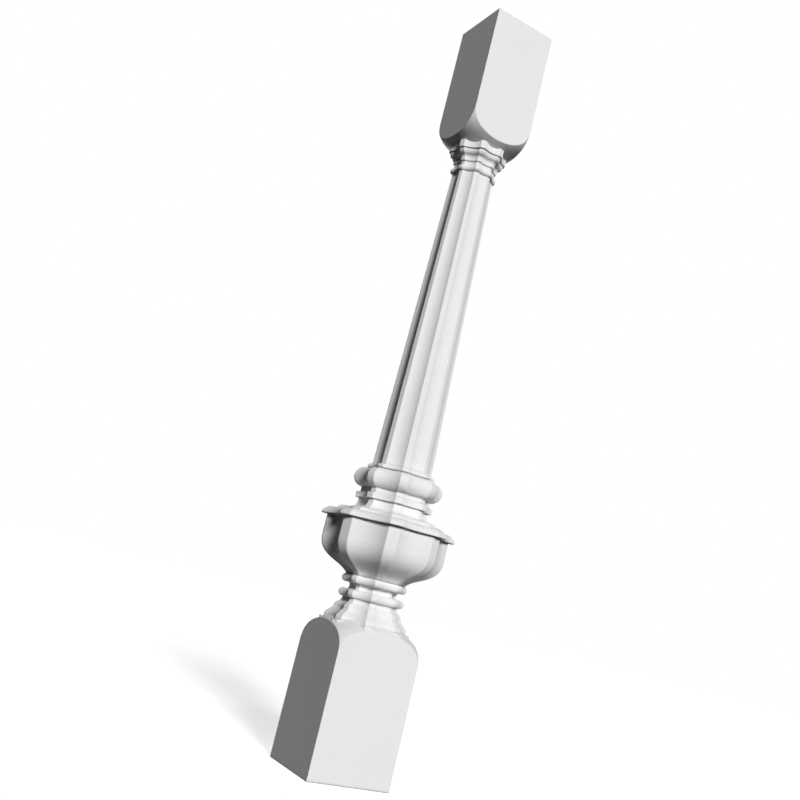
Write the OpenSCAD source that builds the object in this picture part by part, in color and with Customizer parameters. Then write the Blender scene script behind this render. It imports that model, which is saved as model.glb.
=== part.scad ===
// Stone baluster for a stair or balcony rail, cut from one length of stone.
// A square foot block and a smaller square head block keep the rail's weight
// off the turned work. Each block ends in a turned shoulder, which leaves a
// round arch at the end of every face. The stem between them is one run of
// mouldings with flat arrises and shallow flutes, and the flutes cross every
// moulding from the foot to the head.
// Millimetres, +Z up, origin in the middle of the underside.

/* [Overall] */
// Height of the whole baluster
total_h = 900; // [760:1:1200]

/* [Foot block] */
// Side of the square foot block
foot_w = 98; // [90:1:140]
// Height of the foot block, up to where its shoulder meets the flutes
foot_h = 163; // [120:1:260]
// Height of its turned shoulder, from the corners up to the flutes
foot_shoulder_h = 36; // [26:0.5:60]

/* [Head block] */
// Side of the square head block
head_w = 81; // [72:1:120]
// Height of the head block, down to where its shoulder meets the flutes
head_h = 164.6; // [120:0.2:260]
// Height of its turned shoulder, from the corners down to the flutes
head_shoulder_h = 38; // [26:0.5:60]

/* [Flutes] */
// Number of flutes, and of the arrises between them
flute_count = 8; // [6:1:12]
// Width of an arris, as the angle that it covers seen from above
arris_angle = 10.4; // [4:0.2:16]
// Depth of a flute below its two arrises, for a stem of radius 1
flute_depth = 0.072; // [0.02:0.002:0.1]

/* [Foot mouldings] */
// How far the plinth ring stays inside the faces of the foot block
plinth_inset = 0.5; // [0.2:0.1:3]
// Height of the plinth ring that shows above the shoulder, at an arris
plinth_h = 3; // [2:0.1:8]
// Step in from the plinth ring to the collar
collar_step = 4.4; // [2:0.2:6]
// Height of the plain edge of the collar
collar_h = 1.9; // [0.4:0.1:6]
// Height of the rounded slope above the collar
slope_h = 10.4; // [6:0.2:24]
// Radius of the neck ring above the slope
neck_ring_r = 38.2; // [35:0.2:42]
// Height of the neck ring
neck_ring_h = 1.8; // [1:0.2:8]
// Height of the hollow between the neck ring and the first bead
neck_h = 11.2; // [8:0.2:24]
// Radius of the stem in that hollow
neck_r = 31.3; // [29:0.1:32]

/* [Waist] */
// Radius of both waist beads across their rounds
bead_r = 37; // [35:0.2:42]
// Height of each waist bead
bead_h = 9; // [5:0.2:12]
// Radius of the stem at the waist, midway between the beads
waist_r = 26.6; // [20:0.2:30]
// Height of the waist hollow between the beads
waist_h = 7; // [4:0.2:30]
// How far the waist hollow flares out to each bead
waist_flare = 1.6; // [0.4:0.1:1.9]

/* [Bowl] */
// Radius of the bowl at its girth
bowl_r = 70; // [56:0.5:76]
// Radius of the stem where the bowl springs from the second bead
bowl_root_r = 33.8; // [30:0.2:36]
// Height of the bowl's double curve
bowl_curve_h = 36; // [28:0.5:60]
// Height of the bowl's upright wall, up to the lip
bowl_wall_h = 22.7; // [8:0.1:60]
// Radius of the bowl's sharp lip
lip_r = 77.2; // [71:0.2:92]
// Height of the round on top of the lip
lip_h = 8.2; // [5:0.2:14]
// Radius where the lip's round ends
lip_top_r = 67; // [62:0.5:69]
// Radius of the smaller round above the lip
cushion_r = 61.4; // [58:0.2:61.8]
// Height of that round
cushion_h = 4.6; // [3:0.2:9]
// Radius where the smaller round ends
cushion_top_r = 56.8; // [53:0.2:57]

/* [Shaft foot] */
// Radius at the bottom of the hollow that rises to the drum
apron_r = 50.4; // [46:0.2:52]
// Height of that hollow
apron_h = 13; // [9:0.5:30]
// Radius of the plain drum above the hollow
drum_r = 40.2; // [37:0.2:42]
// Radius of the square-edged band round the drum
band_r = 44.3; // [43:0.1:50]
// Height of the band
band_h = 6.2; // [3:0.2:14]
// Height of the drum between the band and the torus
drum_h = 6.6; // [3:0.2:20]
// Radius of the torus across its round
torus_r = 51.1; // [49:0.1:60]
// Height of the torus
torus_h = 21.6; // [14:0.2:24]
// Radius of the bead on top of the torus
shaft_bead_r = 39.1; // [38:0.1:42]
// Height of that bead
shaft_bead_h = 6; // [4:0.2:8]

/* [Shaft and capital] */
// Radius of the shaft at its foot
shaft_foot_r = 34.2; // [30:0.2:35]
// Radius of the shaft at its top
shaft_top_r = 24.8; // [20:0.2:27]
// Radius of the astragal, the bead at the top of the shaft
astragal_r = 28.2; // [27.2:0.2:34]
// Height of the astragal
astragal_h = 7; // [4:0.2:9]
// Height of the plain neck above the astragal
capital_neck_h = 5.4; // [2:0.2:20]
// Radius of the ring under the capital's double curve
capital_ring_r = 26.8; // [26:0.1:31]
// Height of that ring
capital_ring_h = 3; // [2:0.2:10]
// Step in from the top ring to the nose of the capital's double curve
capital_step = 2.1; // [0.5:0.1:4]
// Height of the double curve
capital_h = 11.2; // [7:0.2:20]
// How far the top ring stays inside the faces of the head block
cap_ring_inset = 5.5; // [1:0.1:7]
// Height of the top ring, up to where the shoulder meets its flutes
cap_ring_h = 7.2; // [4:0.2:16]

/* [Hidden] */

// Straight steps in one flute, and in the curves of the mouldings
flute_steps = 4;
small_steps = 5;
curve_steps = 6;
bowl_steps = 11;
torus_steps = 10;
shoulder_steps = 14;
// How far a hidden end of the stem runs on inside its block
tenon = 12;
// How far a shoulder runs on inward, under the flutes of the stem
shoulder_tuck = 3;
// A shoulder clears the corners of its block by this much, so that a corner
// ends in a point and not in a flat curve
shoulder_clear = 0.05;
// A shoulder leaves the corners upright over this share of its height, and
// meets the stem on a straight slope over this share of its width
shoulder_upright = 0.65;
shoulder_straight = 0.46;
// Rise of that slope for each millimetre inward
shoulder_slope = 0.62;

// Shares of a curve's height over which it leaves upright and arrives upright
neck_pull = [0.5, 0.65];
capital_pull = [0.6, 0.8];
// Share of the slope's height over which it leaves the collar upright
slope_pull = 0.3;
// Shares of the bowl curve's height: out and up where it springs from its
// root, then how high it turns upright
bowl_spring = [0.25, 0.333];
bowl_turn = 0.31;
// Share of an ovolo's height and width that its curve stays square for
ovolo_pull = 0.45;
// Height of the edge under the apron's hollow, and of the plain drum above it
apron_edge = 1.5;
apron_top = 2;
// A waist bead stands on a root this much wider than the neck, and the
// astragal on one this much narrower than the shaft
bead_seat = 1.2;
astragal_seat = 0.3;
// Bevel on the lower edge of the capital's ring
ring_bevel = 0.8;

// The stem's section at radius 1, arris by arris anticlockwise
lobe = 360 / flute_count;
half_flute = (lobe - arris_angle) / 2;
flute_chord = sin(half_flute);
flute_reach = cos(half_flute) - flute_depth;
flute_r = (flute_chord * flute_chord + flute_depth * flute_depth) / (2 * flute_depth);
flute_swing = asin(flute_chord / flute_r);

function flute_point(middle, i) =
    let (swing = flute_swing * (2 * i / flute_steps - 1),
         out = flute_reach + flute_r * (1 - cos(swing)),
         side = flute_r * sin(swing))
    [out * cos(middle) - side * sin(middle), out * sin(middle) + side * cos(middle)];

section = [
    for (k = [0 : flute_count - 1])
    for (i = [0 : flute_steps])
    flute_point(k * lobe, i)
];
// Widest reach of the section along X or Y, which the foot block has to hold
section_reach = max([for (p = section) max(abs(p[0]), abs(p[1]))]);

// Curves of a profile, where every point is [radius, height]
function blend(p, q, s, t, n) = [
    for (i = [0 : n])
    let (u = i / n, v = 1 - u)
    p * v * v * v + q * 3 * v * v * u + s * 3 * v * u * u + t * u * u * u
];
// Half round that swells from r to r_max
function round_out(r, z, r_max, h, n) = [
    for (i = [0 : n])
    let (a = 180 * i / n - 90)
    [r + (r_max - r) * cos(a), z + h / 2 + h / 2 * sin(a)]
];
// Hollow with a round floor at r_min
function hollow(r_end, z, r_min, h, n) =
    let (sag = r_end - r_min,
         floor_r = (h * h / 4 + sag * sag) / (2 * sag),
         swing = asin(h / 2 / floor_r))
    [
        for (i = [0 : n])
        let (a = swing * (2 * i / n - 1))
        [r_min + floor_r * (1 - cos(a)), z + h / 2 + floor_r * sin(a)]
    ];
// Double curve that leaves and arrives upright
function double_curve(r0, z, r1, h, pull, n) =
    blend([r0, z], [r0, z + h * pull[0]], [r1, z + h * (1 - pull[1])], [r1, z + h], n);
// Quarter round that leaves upright at r0 and arrives level at r1
function ovolo(r0, z, r1, h, n) =
    blend([r0, z], [r0, z + h * ovolo_pull], [r1 + (r0 - r1) * ovolo_pull, z + h], [r1, z + h], n);

// Outline of a block's shoulder, from its corners in to the stem
function corner_r(side) = side / sqrt(2) + shoulder_clear;
function shoulder(side, height, shoulder_h, meet_r) =
    let (r = corner_r(side),
         run = (r - meet_r) * shoulder_straight,
         start = height - shoulder_h)
    blend([r, start], [r, start + shoulder_h * shoulder_upright],
          [meet_r + run, height - run * shoulder_slope], [meet_r, height], shoulder_steps);

// Heights of the mouldings, each standing on the one below it
plinth_r = (foot_w / 2 - plinth_inset) / section_reach;
collar_r = plinth_r - collar_step;
foot_shoulder = shoulder(foot_w, foot_h, foot_shoulder_h, collar_r * flute_reach);
collar_z = lookup(plinth_r, foot_shoulder) + plinth_h;
slope_z = collar_z + collar_h;
neck_ring_z = slope_z + slope_h;
neck_z = neck_ring_z + neck_ring_h;
bead_z = neck_z + neck_h;
waist_z = bead_z + bead_h;
upper_bead_z = waist_z + waist_h;
bowl_z = upper_bead_z + bead_h;
bowl_wall_z = bowl_z + bowl_curve_h;
lip_z = bowl_wall_z + bowl_wall_h;
cushion_z = lip_z + lip_h;
apron_z = cushion_z + cushion_h;
band_z = apron_z + apron_h;
drum_z = band_z + band_h;
torus_z = drum_z + drum_h;
shaft_bead_z = torus_z + torus_h;
shaft_z = shaft_bead_z + shaft_bead_h;
head_z = total_h - head_h;
cap_ring_r = head_w / 2 - cap_ring_inset;
capital_r = cap_ring_r - capital_step;
head_shoulder = shoulder(head_w, head_h, head_shoulder_h, cap_ring_r * flute_reach);
cap_ring_z = head_z - cap_ring_h;
capital_z = cap_ring_z - capital_h;
capital_ring_z = capital_z - capital_ring_h;
capital_neck_z = capital_ring_z - capital_neck_h;
astragal_z = capital_neck_z - astragal_h;

foot_profile = concat(
    [[plinth_r, collar_z - tenon], [plinth_r, collar_z], [collar_r, collar_z]],
    blend([collar_r, slope_z], [collar_r, slope_z + slope_h * slope_pull],
          [collar_r, slope_z + slope_h * slope_pull], [neck_ring_r, neck_ring_z], curve_steps),
    double_curve(neck_ring_r, neck_z, neck_r, neck_h, neck_pull, curve_steps));

waist_profile = concat(
    round_out(neck_r + bead_seat, bead_z, bead_r, bead_h, curve_steps),
    hollow(waist_r + waist_flare, waist_z, waist_r, waist_h, curve_steps),
    round_out(neck_r + bead_seat, upper_bead_z, bead_r, bead_h, curve_steps));

bowl_profile = concat(
    blend([bowl_root_r, bowl_z], [bowl_root_r, bowl_z] + bowl_curve_h * bowl_spring,
          [bowl_r, bowl_z + bowl_curve_h * bowl_turn], [bowl_r, bowl_wall_z], bowl_steps),
    [[bowl_r, lip_z]],
    ovolo(lip_r, lip_z, lip_top_r, lip_h, small_steps),
    ovolo(cushion_r, cushion_z, cushion_top_r, cushion_h, small_steps));

shaft_foot_profile = concat(
    blend([apron_r, apron_z], [apron_r, apron_z + apron_edge],
          [drum_r, apron_z], [drum_r, band_z - apron_top], curve_steps),
    [[drum_r, band_z], [band_r, band_z], [band_r, drum_z], [drum_r, drum_z]],
    round_out(drum_r, torus_z, torus_r, torus_h, torus_steps),
    round_out(shaft_bead_r - shaft_bead_h / 2, shaft_bead_z, shaft_bead_r, shaft_bead_h, small_steps));

shaft_profile = concat(
    [[shaft_foot_r, shaft_z], [shaft_top_r, astragal_z]],
    round_out(shaft_top_r - astragal_seat, astragal_z, astragal_r, astragal_h, small_steps),
    [[shaft_top_r, capital_neck_z], [shaft_top_r, capital_ring_z]]);

capital_profile = concat(
    [[capital_ring_r - ring_bevel, capital_ring_z], [capital_ring_r, capital_ring_z + ring_bevel]],
    double_curve(capital_ring_r, capital_z, capital_r, capital_h, capital_pull, curve_steps),
    [[cap_ring_r, cap_ring_z], [cap_ring_r, head_z + tenon]]);

stem_profile = concat(foot_profile, waist_profile, bowl_profile,
                      shaft_foot_profile, shaft_profile, capital_profile);

// Skin of the stem: one ring of section points at each profile point
module stem() {
    sides = len(section);
    rings = len(stem_profile);
    skin = [for (p = stem_profile) for (s = section) [s[0] * p[0], s[1] * p[0], p[1]]];
    walls = [
        for (j = [0 : rings - 2])
        for (i = [0 : sides - 1])
        let (a = j * sides + i, b = j * sides + (i + 1) % sides)
        each [[a, b + sides, b], [a, a + sides, b + sides]]
    ];
    underside = [for (i = [0 : sides - 1]) i];
    top = [for (i = [sides - 1 : -1 : 0]) (rings - 1) * sides + i];
    polyhedron(points = skin, faces = concat(walls, [underside, top]), convexity = 10);
}

// Square block standing on z = 0, turned off to the outline of its shoulder
module block(side, outline) {
    edge = outline[len(outline) - 1];
    crown = [edge[0] - shoulder_tuck, edge[1] + shoulder_tuck * shoulder_slope];
    intersection() {
        translate([-side / 2, -side / 2, 0])
            cube([side, side, crown[1]]);
        rotate_extrude()
            polygon(concat([[0, 0], [corner_r(side), 0]], outline, [crown, [0, crown[1]]]));
    }
}

module baluster() {
    color("gainsboro")
        union() {
            block(foot_w, foot_shoulder);
            stem();
            translate([0, 0, total_h])
                mirror([0, 0, 1])
                    block(head_w, head_shoulder);
        }
}

baluster();
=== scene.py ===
# %% [markdown]
# # A stone baluster
# A baluster is one of the short posts that carry the rail of a stair or a
# balcony. This one is cut from a single length of pale stone: a square block
# at the foot, a smaller square block at the head, and between them a stem of
# mouldings with flat arrises and shallow flutes. The lesson starts by loading
# the plain construction model and reading its height. The blocks and mouldings
# are then made again from the same sizes, with finer curves and eased edges,
# and everything stays inside the construction model's box.

# %% Load the construction model
import math

import bpy
import numpy as np
from mathutils import Matrix, Vector


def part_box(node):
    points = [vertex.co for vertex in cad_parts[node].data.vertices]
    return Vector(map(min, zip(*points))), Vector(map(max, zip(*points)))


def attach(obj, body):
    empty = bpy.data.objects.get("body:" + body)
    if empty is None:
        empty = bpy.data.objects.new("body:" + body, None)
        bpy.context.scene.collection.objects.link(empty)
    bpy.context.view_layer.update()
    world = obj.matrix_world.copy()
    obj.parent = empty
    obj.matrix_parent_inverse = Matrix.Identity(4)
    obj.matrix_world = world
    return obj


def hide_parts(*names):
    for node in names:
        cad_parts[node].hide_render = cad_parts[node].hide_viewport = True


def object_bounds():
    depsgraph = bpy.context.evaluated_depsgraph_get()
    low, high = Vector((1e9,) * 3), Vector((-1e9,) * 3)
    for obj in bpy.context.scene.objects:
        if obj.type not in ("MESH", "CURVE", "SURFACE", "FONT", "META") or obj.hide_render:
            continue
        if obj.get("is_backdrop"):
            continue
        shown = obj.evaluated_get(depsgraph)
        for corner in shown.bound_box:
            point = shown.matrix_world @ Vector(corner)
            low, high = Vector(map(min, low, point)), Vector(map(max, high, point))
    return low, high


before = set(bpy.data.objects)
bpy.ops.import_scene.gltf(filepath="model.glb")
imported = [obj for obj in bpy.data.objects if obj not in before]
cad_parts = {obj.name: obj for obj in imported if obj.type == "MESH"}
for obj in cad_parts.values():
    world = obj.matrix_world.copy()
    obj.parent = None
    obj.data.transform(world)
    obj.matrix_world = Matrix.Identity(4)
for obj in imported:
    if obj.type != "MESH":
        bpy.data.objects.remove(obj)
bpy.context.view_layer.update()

MM = 0.001
low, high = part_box("baluster")
total_h = round((high.z - low.z) / MM, 1)
print(f"the baluster stands {total_h} mm high")

# %% [markdown]
# ## Curves that a mason's template is made of
# A mason cuts mouldings to a template, and nearly every template is put
# together from the same few curves: the ovolo, the half round, the hollow and
# the double curve. In Blender an outline could be drawn by hand as a Bezier
# curve, but then no size in it has a name. Short functions that return points
# keep every radius and height readable, so each point below is a pair of
# radius and height in millimetres, and the lists join up into one outline.

# %% Curves of the template
def blend(start, leave, arrive, end, steps):
    """Smooth curve that leaves start towards one point and arrives at end from another."""
    start, leave, arrive, end = (np.array(p, float) for p in (start, leave, arrive, end))
    made = []
    for u in np.linspace(0, 1, steps + 1):
        v = 1 - u
        made.append(start * v**3 + 3 * leave * v * v * u + 3 * arrive * v * u * u + end * u**3)
    return made


def double_curve(r0, z, r1, height, pull, steps):
    """Curve that leaves r0 upright and arrives at r1 upright."""
    top = z + height
    return blend((r0, z), (r0, z + height * pull[0]), (r1, top - height * pull[1]), (r1, top), steps)


def round_out(r, z, widest, height, steps):
    """Half round that swells from r to its widest."""
    turns = np.linspace(-math.pi / 2, math.pi / 2, steps + 1)
    return [(r + (widest - r) * math.cos(a), z + height / 2 * (1 + math.sin(a))) for a in turns]


def hollow(r_end, z, r_floor, height, steps):
    """Round-bottomed hollow between two equal lips."""
    sag = r_end - r_floor
    radius = (height * height / 4 + sag * sag) / (2 * sag)
    swing = math.asin(height / 2 / radius)
    turns = np.linspace(-swing, swing, steps + 1)
    return [(r_floor + radius * (1 - math.cos(a)), z + height / 2 + radius * math.sin(a)) for a in turns]


OVOLO_PULL = 0.45


def ovolo(r0, z, r1, height, steps):
    """Quarter round that leaves r0 upright and arrives at r1 level."""
    leave = (r0, z + height * OVOLO_PULL)
    arrive = (r1 + (r0 - r1) * OVOLO_PULL, z + height)
    return blend((r0, z), leave, arrive, (r1, z + height), steps)


FINE, SMOOTH, LONG = 10, 14, 30
print(f"curves are cut in {FINE}, {SMOOTH} or {LONG} steps")

# %% [markdown]
# ## The eased edge
# No edge of worked stone is razor sharp: it is rubbed down by a fraction of a
# millimetre, and that tiny round is what catches the light. A Bevel modifier
# could do this, but on a mesh with thousands of edges it is slow and hard to
# steer. Here the outline itself is softened before it becomes a mesh. Each
# sharp turn is replaced by a small curve, and a support point is set on each
# side of it, so that smooth shading stays in the curve and the flats stay flat.
# On a short side the curve is kept small, so that two curves never meet.

# %% Soften an outline
SHARP_TURN = math.radians(24)
EASE_STEPS = 3
SUPPORT = 1.7
SHORT_SIDE = 3
EASE_SHARE = 0.4


def soften(points, ease, closed=False):
    """Rounds every sharp turn of an outline, and leaves the gentle ones."""
    points = [Vector(p) for p in points]
    made = []
    for i, corner in enumerate(points):
        back = points[i - 1] - corner
        ahead = points[(i + 1) % len(points)] - corner
        at_an_end = not closed and i in (0, len(points) - 1)
        if at_an_end or math.pi - back.angle(ahead) < SHARP_TURN:
            made.append(corner)
            continue
        start = back.normalized() * min(ease, back.length * EASE_SHARE)
        end = ahead.normalized() * min(ease, ahead.length * EASE_SHARE)
        if back.length > SHORT_SIDE * ease:
            made.append(corner + start * SUPPORT)
        for u in np.linspace(0, 1, EASE_STEPS + 1):
            made.append(corner + start * (1 - u) ** 2 + end * u * u)
        if ahead.length > SHORT_SIDE * ease:
            made.append(corner + end * SUPPORT)
    return made


print(f"turns above {math.degrees(SHARP_TURN):.0f} degrees are eased")

# %% [markdown]
# ## Arrises and flutes
# Seen from above, the stem is a ring of eight flat arrises with a shallow
# flute between each pair. Carving flutes with eight boolean cutters would have
# to follow every bead and hollow of the stem. A better way is to draw the
# section once, at a radius of 1, and to scale it to the radius of each level
# of the outline: the flutes then cross every moulding by themselves.

# %% Section of the stem
flute_count = 8
arris_angle = math.radians(10.4)
flute_depth = 0.072
flute_steps = 12
arris_ease = 0.011

lobe = math.tau / flute_count
half_flute = (lobe - arris_angle) / 2
flute_chord = math.sin(half_flute)
flute_reach = math.cos(half_flute) - flute_depth
flute_r = (flute_chord**2 + flute_depth**2) / (2 * flute_depth)
flute_swing = math.asin(flute_chord / flute_r)

section = []
for k in range(flute_count):
    for swing in np.linspace(-flute_swing, flute_swing, flute_steps + 1):
        out = flute_reach + flute_r * (1 - math.cos(swing))
        point = Vector((out, flute_r * math.sin(swing)))
        point.rotate(Matrix.Rotation(k * lobe, 2))
        section.append(point)
section_reach = max(max(abs(p.x), abs(p.y)) for p in section)
section = np.array(soften(section, arris_ease, closed=True))
print(f"section with {len(section)} points, widest reach {section_reach:.3f}")

# %% [markdown]
# ## Shoulders of the two blocks
# Each square block ends in a shoulder that is turned on the lathe, so it is
# round while the block is square. Where the round surface leaves a flat face
# it draws an arch. The shoulder starts upright at the corners and runs onto a
# straight slope that meets the stem. Both blocks share one rule for it.

# %% Outline of a shoulder
shoulder_upright = 0.65
shoulder_straight = 0.46
shoulder_slope = 0.62
shoulder_tuck = 3
shoulder_steps = 200
corner_clear = 0.05


def shoulder(side, height, shoulder_h, meet_r):
    """Outline from a block's corners in to the stem, and a little way under it."""
    r = side / math.sqrt(2) + corner_clear
    run = (r - meet_r) * shoulder_straight
    start = height - shoulder_h
    leave = (r, start + shoulder_h * shoulder_upright)
    arrive = (meet_r + run, height - run * shoulder_slope)
    curve = blend((r, start), leave, arrive, (meet_r, height), shoulder_steps)
    crown = (meet_r - shoulder_tuck, height + shoulder_tuck * shoulder_slope)
    return np.array(curve + [crown])


def height_at(outline, radius):
    """Height of a shoulder at a given radius."""
    return float(np.interp(radius, outline[::-1, 0], outline[::-1, 1]))


foot_w = 98
foot_h = 163
foot_shoulder_h = 36
plinth_inset = 0.5
collar_step = 4.4
plinth_r = (foot_w / 2 - plinth_inset) / section_reach
collar_r = plinth_r - collar_step
foot_shoulder = shoulder(foot_w, foot_h, foot_shoulder_h, collar_r * flute_reach)

head_w = 81
head_h = 164.6
head_shoulder_h = 38
cap_ring_inset = 5.5
cap_ring_r = head_w / 2 - cap_ring_inset
head_shoulder = shoulder(head_w, head_h, head_shoulder_h, cap_ring_r * flute_reach)
print(f"the foot's shoulder is {height_at(foot_shoulder, foot_w / 2):.1f} mm up at the middle of a face")

# %% [markdown]
# ## The outline from the foot up
# The stem grows out of the foot block in small steps: a plinth ring that only
# shows at the arrises, a collar, a rounded slope, a thin neck ring and a
# hollow neck. A lathe tool cuts them in that order, and the outline is written
# in the same order, with z as the height that has been reached.

# %% Foot mouldings
tenon = 12
plinth_h = 3
collar_h = 1.9
slope_h = 10.4
slope_pull = 0.3
neck_ring_r = 38.2
neck_ring_h = 1.8
neck_r = 31.3
neck_h = 11.2
neck_pull = (0.5, 0.65)

z = height_at(foot_shoulder, plinth_r) + plinth_h
outline = [(plinth_r, z - tenon), (plinth_r, z), (collar_r, z)]
z += collar_h
swell = (collar_r, z + slope_h * slope_pull)
outline += blend((collar_r, z), swell, swell, (neck_ring_r, z + slope_h), SMOOTH)
z += slope_h + neck_ring_h
outline += double_curve(neck_ring_r, z, neck_r, neck_h, neck_pull, SMOOTH)
z += neck_h
print(f"the neck ends {z:.1f} mm up")

# %% [markdown]
# ## The waist
# The narrowest part of the foot is a round hollow held between two equal
# beads. A bead is a half round on a root a little wider than the neck, so a
# crisp shadow line shows above and below it.

# %% Waist between two beads
bead_r = 37
bead_h = 9
bead_seat = 1.2
waist_r = 26.6
waist_h = 7
waist_flare = 1.6

outline += round_out(neck_r + bead_seat, z, bead_r, bead_h, SMOOTH)
z += bead_h
outline += hollow(waist_r + waist_flare, z, waist_r, waist_h, FINE)
z += waist_h
outline += round_out(neck_r + bead_seat, z, bead_r, bead_h, SMOOTH)
z += bead_h
print(f"the waist ends {z:.1f} mm up")

# %% [markdown]
# ## The bowl
# The bowl is the widest part. It springs out of the second bead in a double
# curve, stands in a nearly plain wall, and ends in a sharp lip with two
# rounds on top, each smaller than the one below. The double curve gets more
# steps than the small mouldings, because its long bend is seen edge on.

# %% Bowl, lip and the two rounds
bowl_root_r = 33.8
bowl_r = 70
bowl_curve_h = 36
bowl_spring = (0.25, 0.333)
bowl_turn = 0.31
bowl_wall_h = 22.7
lip_r = 77.2
lip_h = 8.2
lip_top_r = 67
cushion_r = 61.4
cushion_h = 4.6
cushion_top_r = 56.8

spring = (bowl_root_r + bowl_curve_h * bowl_spring[0], z + bowl_curve_h * bowl_spring[1])
turn = (bowl_r, z + bowl_curve_h * bowl_turn)
outline += blend((bowl_root_r, z), spring, turn, (bowl_r, z + bowl_curve_h), LONG)
z += bowl_curve_h + bowl_wall_h
outline += [(bowl_r, z)]
outline += ovolo(lip_r, z, lip_top_r, lip_h, SMOOTH)
z += lip_h
outline += ovolo(cushion_r, z, cushion_top_r, cushion_h, FINE)
z += cushion_h
print(f"the bowl ends {z:.1f} mm up")

# %% [markdown]
# ## The foot of the shaft
# Above the bowl a hollow apron rises to a plain drum with one square-edged
# band round it. A full torus and a small bead carry the shaft. Only the band
# keeps square edges, which is why it reads as a strap between two rounds.

# %% Apron, drum, band and torus
apron_r = 50.4
apron_h = 13
apron_edge = 1.5
apron_top = 2
drum_r = 40.2
drum_h = 6.6
band_r = 44.3
band_h = 6.2
torus_r = 51.1
torus_h = 21.6
shaft_bead_r = 39.1
shaft_bead_h = 6

apron_end = z + apron_h
apron_rise = (apron_r, z + apron_edge)
outline += blend((apron_r, z), apron_rise, (drum_r, z), (drum_r, apron_end - apron_top), SMOOTH)
z = apron_end
outline += [(drum_r, z), (band_r, z), (band_r, z + band_h), (drum_r, z + band_h)]
z += band_h + drum_h
outline += round_out(drum_r, z, torus_r, torus_h, LONG)
z += torus_h
outline += round_out(shaft_bead_r - shaft_bead_h / 2, z, shaft_bead_r, shaft_bead_h, FINE)
z += shaft_bead_h
shaft_start = z
print(f"the shaft starts {shaft_start:.1f} mm up")

# %% [markdown]
# ## Shaft and capital
# The shaft tapers in a straight line to a small bead, the astragal. The
# capital above it is stacked downward from the head block: a top ring that
# runs into the block's shoulder, a double curve with a full nose, a thin ring
# and a plain neck. Working down from the top keeps the capital its own size
# when the baluster is made taller, and only the shaft gets longer.

# %% Shaft and capital
shaft_foot_r = 34.2
shaft_top_r = 24.8
astragal_r = 28.2
astragal_h = 7
astragal_seat = 0.3
capital_neck_h = 5.4
capital_ring_r = 26.8
capital_ring_h = 3
ring_bevel = 0.8
capital_step = 2.1
capital_h = 11.2
capital_pull = (0.6, 0.8)
cap_ring_h = 7.2

head_z = total_h - head_h
z = head_z - cap_ring_h - capital_h - capital_ring_h - capital_neck_h - astragal_h
outline += [(shaft_foot_r, shaft_start), (shaft_top_r, z)]
outline += round_out(shaft_top_r - astragal_seat, z, astragal_r, astragal_h, FINE)
z += astragal_h
outline += [(shaft_top_r, z), (shaft_top_r, z + capital_neck_h)]
z += capital_neck_h
outline += [(capital_ring_r - ring_bevel, z), (capital_ring_r, z + ring_bevel)]
z += capital_ring_h
outline += double_curve(capital_ring_r, z, cap_ring_r - capital_step, capital_h, capital_pull, SMOOTH)
z += capital_h
outline += [(cap_ring_r, z), (cap_ring_r, head_z + tenon)]
print(f"the outline of the stem has {len(outline)} points")

# %% [markdown]
# ## A skin over rings
# A mesh of this kind is a stack of rings with the same number of points. Each
# pair of neighbouring rings is joined by a band of four-sided faces, and the
# first and last ring are closed with a flat face. A Screw or Skin modifier
# makes round things only, while this small helper takes rings of any shape,
# so the stem and both blocks come from it.

# %% Skin helper
def skin(name, rings):
    """Closed mesh object over a stack of rings, an array of rings x points x 3 in millimetres."""
    count, sides = rings.shape[:2]
    faces = []
    for j in range(count - 1):
        for i in range(sides):
            a = j * sides + i
            b = j * sides + (i + 1) % sides
            faces.append((a, b, b + sides, a + sides))
    faces.append(tuple(reversed(range(sides))))
    faces.append(tuple(range((count - 1) * sides, count * sides)))
    mesh = bpy.data.meshes.new(name)
    mesh.from_pydata((rings.reshape(-1, 3) * MM).tolist(), [], faces)
    mesh.validate()
    made = bpy.data.objects.new(name, mesh)
    bpy.context.scene.collection.objects.link(made)
    return made


# %% Skin of the stem
moulding_ease = 0.35

stem_outline = np.array(soften(outline, moulding_ease))
stem_rings = np.zeros((len(stem_outline), len(section), 3))
stem_rings[:, :, :2] = stem_outline[:, None, :1] * section[None]
stem_rings[:, :, 2] = stem_outline[:, 1:]
stem = skin("stem", stem_rings)
print(f"the stem has {len(stem.data.polygons)} faces")

# %% [markdown]
# ## The square blocks
# A block could be a cube cut by a turned cutter, but then its arch edge would
# be a cut edge of uneven small faces. Here the block is a stack of rings too:
# square rings up the faces, and then rings that follow the turned shoulder.
# The points of a face are spread like the steps of an arch, close together at
# the corners, where the arch is steep.

# %% Block helper
face_steps = 36
corner_ease = 0.7
arch_ease = 0.45
arch_support = 2 * SUPPORT
shoulder_rows = 22


def square_ring(side):
    """Square with eased corners, as points in the plan of a block."""
    half = side / 2
    turns = np.linspace(-math.pi / 2, math.pi / 2, face_steps, endpoint=False)
    ring = []
    for k in range(4):
        for a in turns:
            point = Vector((half, half * math.sin(a)))
            point.rotate(Matrix.Rotation(k * math.pi / 2, 2))
            ring.append(point)
    return np.array(soften(ring, corner_ease, closed=True))


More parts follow.
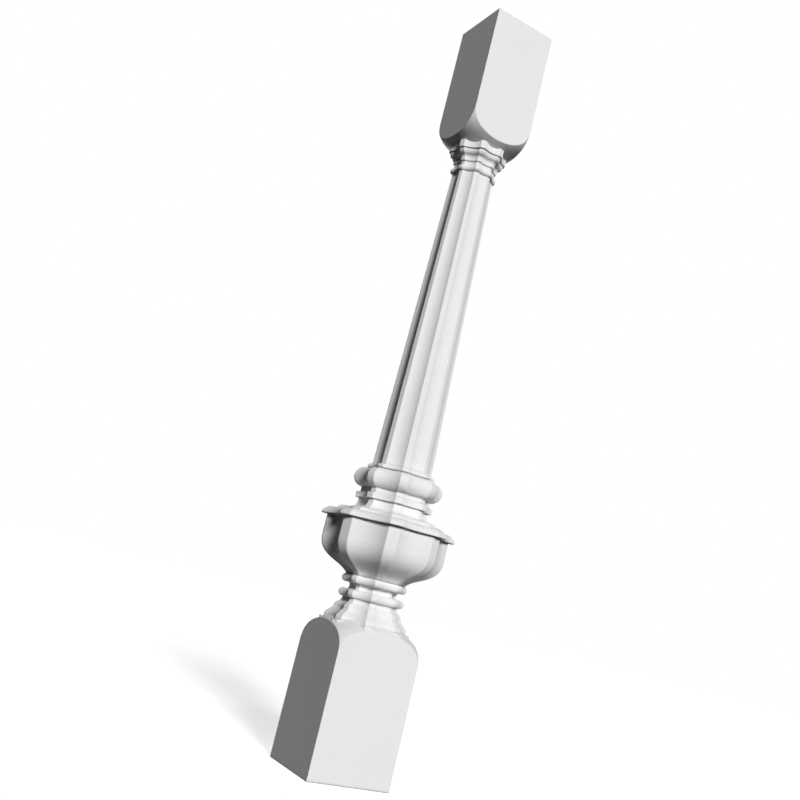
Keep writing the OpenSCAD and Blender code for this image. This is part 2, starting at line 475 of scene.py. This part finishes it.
def block_rings(side, outline):
    """Rings of a block that stands on its square end."""
    plan = square_ring(side)
    reach = np.hypot(plan[:, 0], plan[:, 1])
    way_out = plan / reach[:, None]
    half = side / 2
    arch = np.array([height_at(outline, r) for r in reach])
    # The square end, with its edge rubbed down in a quarter round
    levels = []
    for a in np.linspace(0, math.pi / 2, EASE_STEPS + 1):
        inset = corner_ease * (1 - math.sin(a))
        levels.append((reach * (1 - inset / half), np.full(len(reach), corner_ease * (1 - math.cos(a)))))
    levels.append((reach, np.full(len(reach), corner_ease * SUPPORT)))
    # The arch, eased between the flat face and the turned shoulder
    steps = np.arange(len(outline))
    start = np.interp(reach - arch_ease, outline[::-1, 0], steps[::-1])
    over_r = np.interp(start, steps, outline[:, 0])
    over_z = np.interp(start, steps, outline[:, 1])
    levels.append((reach, arch - arch_ease * arch_support))
    for u in np.linspace(0, 1, EASE_STEPS + 1):
        below = (1 - u) ** 2
        above = u * u
        r = reach * (1 - above) + over_r * above
        height = arch * (1 - below - above) + (arch - arch_ease) * below + over_z * above
        levels.append((r, height))
    # The turned shoulder, in rows that close in on the stem
    for u in np.linspace(0, 1, shoulder_rows + 1)[1:]:
        here = start + (len(outline) - 1 - start) * u
        levels.append((np.interp(here, steps, outline[:, 0]), np.interp(here, steps, outline[:, 1])))
    rings = np.zeros((len(levels), len(plan), 3))
    for ring, (r, height) in zip(rings, levels):
        ring[:, :2] = way_out * r[:, None]
        ring[:, 2] = height
    return rings


# %% Foot block and head block
foot_block = skin("foot_block", block_rings(foot_w, foot_shoulder))
head_rings = block_rings(head_w, head_shoulder)
head_rings[:, :, 1] *= -1
head_rings[:, :, 2] = total_h - head_rings[:, :, 2]
head_block = skin("head_block", head_rings)
print(f"the blocks have {len(foot_block.data.polygons)} and {len(head_block.data.polygons)} faces")

# %% [markdown]
# ## One stone
# On the real baluster there is no joint between block and stem, because all of
# it is one stone. Leaving three meshes pushed into each other would look much
# the same, but each would keep hidden ends inside the others. The Boolean
# modifier in its Manifold mode makes a true union in a moment, and reading the
# evaluated mesh applies it with no operator. A cut can leave two points almost
# on the same spot, and a Weld modifier after the unions joins them. Smooth
# shading is kept, and only the creases where surfaces cross are marked sharp.

# %% Unite the blocks and the stem
CREASE = math.radians(40)
WELD_WITHIN = 0.001 * MM

for part in (foot_block, head_block):
    union = stem.modifiers.new("union with " + part.name, "BOOLEAN")
    union.operation = "UNION"
    union.solver = "MANIFOLD"
    union.object = part
weld = stem.modifiers.new("weld", "WELD")
weld.merge_threshold = WELD_WITHIN
bpy.context.view_layer.update()
evaluated = stem.evaluated_get(bpy.context.evaluated_depsgraph_get())
stone_mesh = bpy.data.meshes.new_from_object(evaluated)
stone_mesh.name = "baluster_stone"
for part in (foot_block, head_block, stem):
    bpy.data.objects.remove(part)
stone_mesh.shade_smooth()
stone_mesh.set_sharp_from_angle(angle=CREASE)
baluster = bpy.data.objects.new("baluster_stone", stone_mesh)
bpy.context.scene.collection.objects.link(baluster)
stone_mesh.calc_loop_triangles()
print(f"one stone with {len(stone_mesh.loop_triangles)} triangles")

# %% [markdown]
# ## Rubbed pale stone
# The stone is nearly white, fine grained and rubbed smooth, without polish. A
# single flat colour would look like plaster or plastic. A picture of stone
# wrapped round the shaft would stretch and show its seam. Noise that reads the
# object's own coordinates does neither, because it fills the whole block, and
# cutting the mouldings only uncovers it. Three faint layers are enough: wide
# soft clouds, a grain about a millimetre across, and a few darker flecks.

# %% Helpers for the stone's layers
# Nearly all of a noise's values lie between these two
NOISE_LOW, NOISE_HIGH = 0.3, 0.7


def spread(tree, value, from_low, from_high, to_low, to_high):
    """Value moved from one range to another, and held inside it."""
    node = tree.nodes.new("ShaderNodeMapRange")
    node.inputs["From Min"].default_value = from_low
    node.inputs["From Max"].default_value = from_high
    node.inputs["To Min"].default_value = to_low
    node.inputs["To Max"].default_value = to_high
    tree.links.new(value, node.inputs["Value"])
    return node.outputs["Result"]


def noise(tree, place, scale, detail, lowest, highest):
    """Noise in the stone, from lowest to highest. A scale of 1000 gives 1 mm grains."""
    texture = tree.nodes.new("ShaderNodeTexNoise")
    texture.inputs["Scale"].default_value = scale
    texture.inputs["Detail"].default_value = detail
    tree.links.new(place, texture.inputs["Vector"])
    return spread(tree, texture.outputs["Fac"], NOISE_LOW, NOISE_HIGH, lowest, highest)


def tint(tree, amount, under, over):
    """Colour that turns from under to over as amount goes from 0 to 1."""
    mix = tree.nodes.new("ShaderNodeMix")
    mix.data_type = "RGBA"
    tree.links.new(amount, mix.inputs["Factor"])
    for socket, colour in (("A", under), ("B", over)):
        target = [s for s in mix.inputs if s.name == socket and s.type == "RGBA"][0]
        if isinstance(colour, tuple):
            target.default_value = colour
        else:
            tree.links.new(colour, target)
    return [s for s in mix.outputs if s.type == "RGBA"][0]


print("helpers: spread, noise and tint")

# %% Colour of the stone
STONE = (0.825, 0.823, 0.817, 1)
STONE_CLOUD = (0.79, 0.787, 0.778, 1)
STONE_FLECK = (0.74, 0.735, 0.72, 1)

stone = bpy.data.materials.new("rubbed_pale_stone")
stone.use_nodes = True
tree = stone.node_tree
shader = tree.nodes["Principled BSDF"]
place = tree.nodes.new("ShaderNodeTexCoord").outputs["Object"]

clouds = noise(tree, place, scale=14, detail=5, lowest=0, highest=0.8)
grain = noise(tree, place, scale=900, detail=3, lowest=0, highest=0.5)
# Most of this noise lies below 0, so that only its peaks show as flecks
flecks = noise(tree, place, scale=620, detail=2, lowest=-1.6, highest=0.7)
colour = tint(tree, clouds, STONE, STONE_CLOUD)
colour = tint(tree, grain, colour, STONE_CLOUD)
colour = tint(tree, flecks, colour, STONE_FLECK)
print("clouds, grain and flecks")

# %% [markdown]
# A quirk is the narrow groove where one moulding meets the next. Shade is
# painted into the stone's colour there: the colour turns dark grey where the
# stone is closed in, and it draws a thin line round the stem. Painting each
# line would take a mask for every moulding. The Ambient Occlusion node finds
# them all: it measures how closed in a point is within a few millimetres.

# %% Painted shade in the quirks
# Dark grey that is painted into the quirks as shade
PAINTED_QUIRK_SHADE = (0.36, 0.355, 0.345, 1)
QUIRK_REACH = 0.004
OPEN_STONE, DEEP_QUIRK = 0.85, 0.35
QUIRK_RAYS = 8

recess = tree.nodes.new("ShaderNodeAmbientOcclusion")
recess.samples = QUIRK_RAYS
recess.inputs["Distance"].default_value = QUIRK_REACH
quirk = spread(tree, recess.outputs["AO"], OPEN_STONE, DEEP_QUIRK, 0, 1)
# Painted shade: the colour turns towards the dark grey where the stone is closed in
colour = tint(tree, quirk, colour, PAINTED_QUIRK_SHADE)
tree.links.new(colour, shader.inputs["Base Color"])
print(f"quirks darken within {QUIRK_REACH / MM:.0f} mm")

# %% [markdown]
# Rubbed stone has a wide, weak sheen. Its roughness wanders a little, because
# some grains take the rubbing better than others, and the grains stand proud
# of each other by a hair, which a very shallow bump gives.

# %% Sheen and grain of the surface
SHEEN = 0.12
ROUGH_LOW, ROUGH_HIGH = 0.6, 0.72
GRAIN_DEPTH = 0.0002
GRAIN_STRENGTH = 0.12

shader.inputs["Specular IOR Level"].default_value = SHEEN
rough = noise(tree, place, scale=260, detail=4, lowest=ROUGH_LOW, highest=ROUGH_HIGH)
tree.links.new(rough, shader.inputs["Roughness"])
bump = tree.nodes.new("ShaderNodeBump")
bump.inputs["Strength"].default_value = GRAIN_STRENGTH
bump.inputs["Distance"].default_value = GRAIN_DEPTH
proud = noise(tree, place, scale=700, detail=4, lowest=0, highest=1)
tree.links.new(proud, bump.inputs["Height"])
tree.links.new(bump.outputs["Normal"], shader.inputs["Normal"])
stone_mesh.materials.clear()
stone_mesh.materials.append(stone)
print(f"stone material with {len(tree.nodes)} nodes")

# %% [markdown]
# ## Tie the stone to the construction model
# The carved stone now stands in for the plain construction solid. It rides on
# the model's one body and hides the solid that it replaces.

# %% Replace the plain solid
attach(baluster, "root")
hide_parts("baluster")
print("the carved stone replaces the plain solid")

# %% [markdown]
# ## Floor and background
# A product view wants a plain white ground that doesn't light the object from
# below. The floor and the world look white to the camera and in reflections,
# and stay dim for all other light. The Light Path node tells the two apart.
# Part of the floor's white is still lit by the lamps, so it keeps the shadow.

# %% White floor and white world
FLOOR_REACH = 12
FLOOR_WHITE = (0.9, 0.9, 0.9, 1)
FLOOR_DIM = (0.03, 0.03, 0.03, 1)
FLOOR_GLOW = 0.62
WORLD_WHITE = (1, 1, 1, 1)
WORLD_FILL = 0.006


def seen_directly(tree):
    """1 where the camera or a reflection looks, and 0 for light on its way."""
    path = tree.nodes.new("ShaderNodeLightPath")
    total = path.outputs["Is Camera Ray"]
    for name in ("Is Glossy Ray", "Is Transmission Ray"):
        add = tree.nodes.new("ShaderNodeMath")
        add.operation = "MAXIMUM"
        tree.links.new(total, add.inputs[0])
        tree.links.new(path.outputs[name], add.inputs[1])
        total = add.outputs[0]
    return total


floor_mesh = bpy.data.meshes.new("floor")
corners = [(x * FLOOR_REACH, y * FLOOR_REACH, 0) for x, y in ((-1, -1), (1, -1), (1, 1), (-1, 1))]
floor_mesh.from_pydata(corners, [], [(0, 1, 2, 3)])
floor = bpy.data.objects.new("floor", floor_mesh)
bpy.context.scene.collection.objects.link(floor)
floor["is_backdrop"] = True

ground = bpy.data.materials.new("white_floor")
ground.use_nodes = True
tree = ground.node_tree
tree.nodes.clear()
dim = tree.nodes.new("ShaderNodeBsdfDiffuse")
dim.inputs["Color"].default_value = FLOOR_DIM
lit = tree.nodes.new("ShaderNodeBsdfDiffuse")
lit.inputs["Color"].default_value = FLOOR_WHITE
glow = tree.nodes.new("ShaderNodeEmission")
glow.inputs["Strength"].default_value = FLOOR_GLOW
white = tree.nodes.new("ShaderNodeAddShader")
tree.links.new(lit.outputs[0], white.inputs[0])
tree.links.new(glow.outputs[0], white.inputs[1])
choose = tree.nodes.new("ShaderNodeMixShader")
tree.links.new(seen_directly(tree), choose.inputs[0])
tree.links.new(dim.outputs[0], choose.inputs[1])
tree.links.new(white.outputs[0], choose.inputs[2])
output = tree.nodes.new("ShaderNodeOutputMaterial")
tree.links.new(choose.outputs[0], output.inputs["Surface"])
floor_mesh.materials.append(ground)

world = bpy.data.worlds.new("white_world")
bpy.context.scene.world = world
world.use_nodes = True
tree = world.node_tree
sky = tree.nodes["Background"]
sky.inputs["Color"].default_value = WORLD_WHITE
strength = tree.nodes.new("ShaderNodeMapRange")
strength.inputs["To Min"].default_value = WORLD_FILL
strength.inputs["To Max"].default_value = 1
tree.links.new(seen_directly(tree), strength.inputs["Value"])
tree.links.new(strength.outputs["Result"], sky.inputs["Strength"])
print(f"floor {2 * FLOOR_REACH} m across, world fill {WORLD_FILL}")

# %% [markdown]
# ## Lamps
# Mouldings read by their shading, so one soft lamp does most of the work. It
# stands low and a little to the right of the viewer, which leaves the
# undersides dark and the other face of each block in shade. A second, weaker
# lamp lights the far side. Area lamps would light the foot and the head
# differently. Sun lamps with a wide angle light the whole height evenly, and
# their shadows stay soft. A sun of strength pi shows a surface that faces it
# just as bright as its colour, so each strength below is a share of that.

# %% Key lamp and far-side lamp
LAMP_AWAY = 3


def outward(azimuth, elevation=0):
    """Direction at an azimuth, in degrees from -Y towards -X, and an elevation."""
    turn, rise = math.radians(azimuth), math.radians(elevation)
    return Vector((-math.sin(turn) * math.cos(rise), -math.cos(turn) * math.cos(rise), math.sin(rise)))


def lamp(name, azimuth, elevation, strength, width):
    """Sun lamp that shines from an azimuth and elevation, and is so many degrees wide."""
    light = bpy.data.lights.new(name, "SUN")
    light.energy = strength * math.pi
    light.angle = math.radians(width)
    made = bpy.data.objects.new(name, light)
    away = outward(azimuth, elevation)
    made.location = away * LAMP_AWAY
    made.rotation_euler = away.to_track_quat("Z", "Y").to_euler()
    bpy.context.scene.collection.objects.link(made)


lamp("key_lamp", azimuth=10, elevation=21, strength=1.07, width=14)
lamp("far_lamp", azimuth=208, elevation=8, strength=0.9, width=20)
print("a key lamp in front and a weaker lamp on the far side")

# %% [markdown]
# ## Camera
# The baluster is seen from low down and close by, looking up at it, with the
# camera tipped to one side, so that the post leans in the view. The camera
# stands at a distance, an azimuth and a height, like the lamps. It is aimed in
# three turns, in the order that a tripod has them: yaw about the upright,
# pitch up from level, and then roll about the line of sight. A Track To
# constraint would aim it with less work, but it can't roll.

# %% Camera
CAMERA_AZIMUTH = 28.442
CAMERA_AWAY = 1.0898
CAMERA_HEIGHT = 0.1926
YAW, PITCH, ROLL = -27.327, 11.555, 13.828
LENS_MM = 43.36
SENSOR_MM = 36

camera_data = bpy.data.cameras.new("camera")
camera_data.lens = LENS_MM
camera_data.sensor_width = SENSOR_MM
camera = bpy.data.objects.new("camera", camera_data)
camera.location = outward(CAMERA_AZIMUTH) * CAMERA_AWAY + Vector((0, 0, CAMERA_HEIGHT))
level = math.pi / 2
aim = (Matrix.Rotation(math.radians(YAW), 3, "Z")
       @ Matrix.Rotation(math.radians(PITCH) + level, 3, "X")
       @ Matrix.Rotation(math.radians(ROLL), 3, "Z"))
camera.rotation_euler = aim.to_euler()
bpy.context.scene.collection.objects.link(camera)
bpy.context.scene.camera = camera
bpy.context.scene.view_settings.view_transform = "Standard"
print(f"camera {CAMERA_AWAY:.2f} m away and {CAMERA_HEIGHT:.2f} m up")

# %% [markdown]
# ## The size at the end
# The carved stone has to stay inside the construction model's box. The lowest
# and highest corners of its own box are printed.

# %% Print the size of the carved stone
bpy.context.view_layer.update()
new_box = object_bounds()
for label, corner in zip(("lowest", "highest"), new_box):
    print(label, [round(v / MM, 2) for v in corner])
